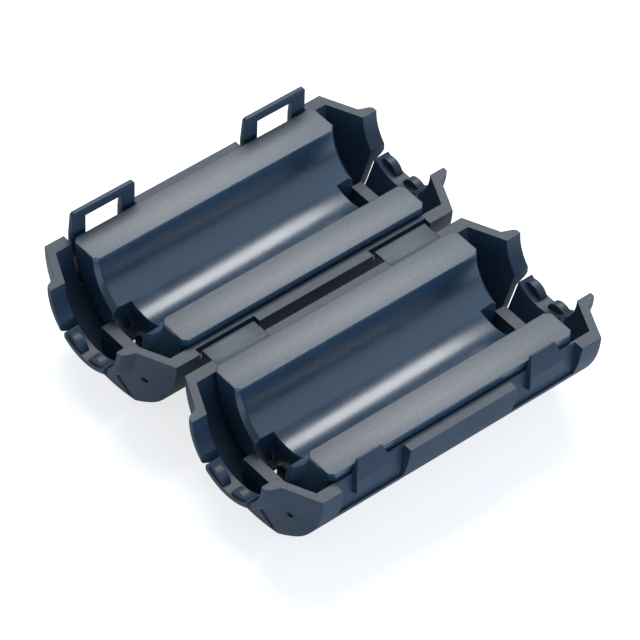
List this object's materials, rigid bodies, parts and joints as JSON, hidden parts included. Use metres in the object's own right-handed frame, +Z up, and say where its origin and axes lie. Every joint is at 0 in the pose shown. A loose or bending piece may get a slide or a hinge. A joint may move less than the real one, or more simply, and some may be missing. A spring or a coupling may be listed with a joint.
{
  "type": "clip-on ferrite bead",
  "caption": "Clip-on ferrite bead for cable noise suppression: hinged plastic case with latch loops holding a split ferrite sleeve, shown opened flat.",
  "frame": {"origin": "on the resting surface, under the hinge line, midway along the cable channel", "axes": "+X along the cable and the hinge line, +Y from the catch half to the latch half, +Z up out of the opened halves"},
  "size_m": [0.0384, 0.0401, 0.0129],
  "materials": {
    "nylon": "fine matt moulded texture",
    "ferrite": "sintered and tumbled, ground mating faces"
  },
  "bodies": {
    "front": {"front_shell": "nylon", "hinge_strap_left": "nylon", "hinge_strap_right": "nylon", "front_spring_left": "nylon", "front_spring_right": "nylon"},
    "front_ferrite": {"front_core": "ferrite"},
    "rear": {"rear_shell": "nylon", "rear_spring_left": "nylon", "rear_spring_right": "nylon"},
    "rear_ferrite": {"rear_core": "ferrite"},
    "latch_left": {"latch_loop_left": "nylon"},
    "latch_right": {"latch_loop_right": "nylon"}
  },
  "joints": [
    {"name": "case_hinge", "type": "hinge", "parent": "front", "child": "rear", "pos_m": [0, 0, 0.00975], "axis": [1, 0, 0], "range_deg": [0, 180], "deforming": ["hinge_strap_left", "hinge_strap_right"]},
    {"name": "front_core_press", "type": "slide", "parent": "front", "child": "front_ferrite", "axis": [0, 0, -1], "range_m": [0, 0.00078], "stiffness_N_per_m": 4000, "deforming": ["front_spring_left", "front_spring_right"]},
    {"name": "rear_core_press", "type": "slide", "parent": "rear", "child": "rear_ferrite", "axis": [0, 0, -1], "range_m": [0, 0.00078], "stiffness_N_per_m": 4000, "deforming": ["rear_spring_left", "rear_spring_right"]},
    {"name": "left_latch_flex", "type": "hinge", "parent": "rear", "child": "latch_left", "pos_m": [-0.0101, 0.01895, 0.00535], "axis": [-1, 0, 0], "range_deg": [0, 8], "stiffness_Nm_per_rad": 0.3},
    {"name": "right_latch_flex", "type": "hinge", "parent": "rear", "child": "latch_right", "pos_m": [0.0101, 0.01895, 0.00535], "axis": [-1, 0, 0], "range_deg": [0, 8], "stiffness_Nm_per_rad": 0.3}
  ],
  "couplings": [
    {"joint": "case_hinge", "follows": "front_core_press", "rad_per_m": 4027.7},
    {"joint": "rear_core_press", "follows": "front_core_press", "ratio": 1}
  ]
}
